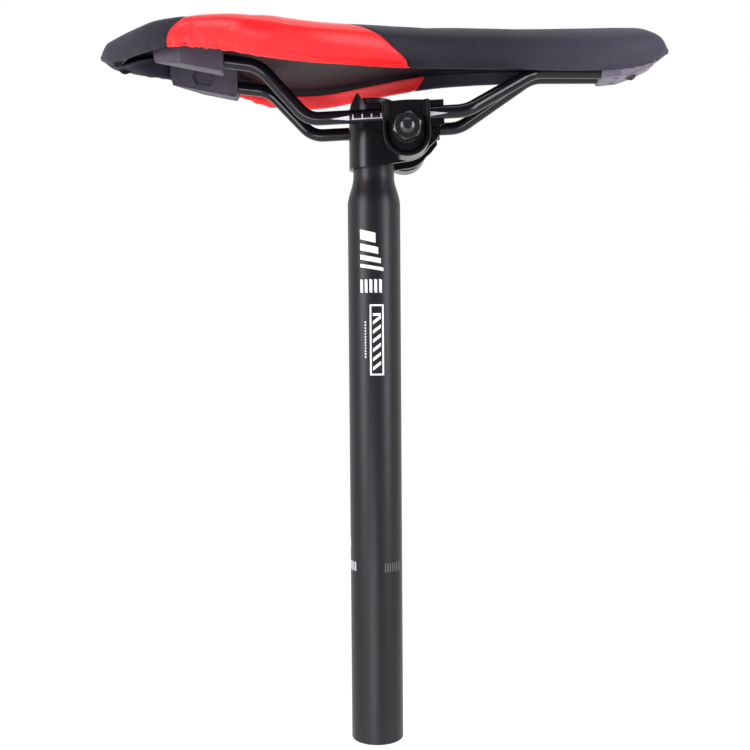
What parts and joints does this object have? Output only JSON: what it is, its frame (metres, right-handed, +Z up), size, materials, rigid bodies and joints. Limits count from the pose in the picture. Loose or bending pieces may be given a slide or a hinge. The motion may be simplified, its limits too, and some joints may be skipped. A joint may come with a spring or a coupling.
{
  "type": "bicycle seat post with clamp and saddle",
  "caption": "Rigid necked tubular bicycle seat post with a side-bolt saddle clamp that swivels, tilts and slides, carrying a long-nosed padded saddle on two steel rails.",
  "frame": {"origin": "on the post's axis at its lower end", "axes": "+Z up along the post's axis, +X forward to the saddle's nose, +Y to the rider's left"},
  "size_m": [0.305, 0.1376, 0.3875],
  "materials": {
    "post_black": "fine bead-blasted black anodised",
    "clamp_steel": "satin black e-coated pressed steel",
    "fastener_steel": "black zinc plated steel",
    "rail_black": "gloss black lacquered steel rod",
    "base_plastic": "grained black polypropylene",
    "bracket_grey": "dark grey moulded nylon",
    "foam": "open-cell polyurethane foam",
    "cover_black": "matt charcoal grained vinyl",
    "cover_red": "semi-gloss red vinyl",
    "staple_steel": "bright wire"
  },
  "bodies": {
    "post": {"post_tube": "post_black"},
    "clamp": {"clamp_band": "clamp_steel", "clamp_bolt": "fastener_steel"},
    "cradle": {"inner_rail_plate_left": "clamp_steel", "inner_rail_plate_right": "clamp_steel"},
    "saddle": {"rail_left": "rail_black", "rail_right": "rail_black", "saddle_base": "base_plastic", "rear_rail_socket_left": "base_plastic", "rear_rail_socket_right": "base_plastic", "nose_rail_bracket": "bracket_grey", "nose_bracket_screw": "fastener_steel", "foam_pad": "foam", "cover_main": "cover_black", "side_panel_left": "cover_red", "side_panel_right": "cover_red", "cover_staples": "staple_steel"},
    "left_plate": {"outer_rail_plate_left": "clamp_steel"},
    "right_plate": {"outer_rail_plate_right": "clamp_steel"},
    "left_washer": {"washer_left": "fastener_steel"},
    "right_washer": {"washer_right": "fastener_steel"},
    "left_nut": {"nut_left": "fastener_steel"},
    "right_nut": {"nut_right": "fastener_steel"}
  },
  "joints": [
    {"name": "clamp_swivel", "type": "hinge", "parent": "post", "child": "clamp", "pos_m": [0, 0, 0.3302], "axis": [0, 0, 1], "continuous": true},
    {"name": "saddle_tilt", "type": "hinge", "parent": "clamp", "child": "cradle", "pos_m": [0.0173, 0, 0.3302], "axis": [0, 1, 0], "range_deg": [-15, 15]},
    {"name": "rail_slide", "type": "slide", "parent": "cradle", "child": "saddle", "axis": [0.999, 0, 0.0455], "range_m": [-0.004, 0.024]},
    {"name": "left_plate_slide", "type": "slide", "parent": "cradle", "child": "left_plate", "axis": [0, 1, 0], "range_m": [0, 0.0025]},
    {"name": "left_washer_slide", "type": "slide", "parent": "clamp", "child": "left_washer", "axis": [0, 1, 0], "range_m": [0, 0.00251]},
    {"name": "left_nut_spin", "type": "hinge", "parent": "left_washer", "child": "left_nut", "pos_m": [0.0173, 0.033, 0.3302], "axis": [0, 1, 0], "range_deg": [0, 721]},
    {"name": "right_plate_slide", "type": "slide", "parent": "cradle", "child": "right_plate", "axis": [0, -1, 0], "range_m": [0, 0.0025]},
    {"name": "right_washer_slide", "type": "slide", "parent": "clamp", "child": "right_washer", "axis": [0, -1, 0], "range_m": [0, 0.00251]},
    {"name": "right_nut_spin", "type": "hinge", "parent": "right_washer", "child": "right_nut", "pos_m": [0.0173, -0.033, 0.3302], "axis": [0, -1, 0], "range_deg": [0, 721]}
  ],
  "couplings": [
    {"joint": "left_nut_spin", "follows": "left_plate_slide", "rad_per_m": 5026.5},
    {"joint": "left_washer_slide", "follows": "left_plate_slide", "ratio": 1},
    {"joint": "right_nut_spin", "follows": "right_plate_slide", "rad_per_m": 5026.5},
    {"joint": "right_washer_slide", "follows": "right_plate_slide", "ratio": 1}
  ]
}
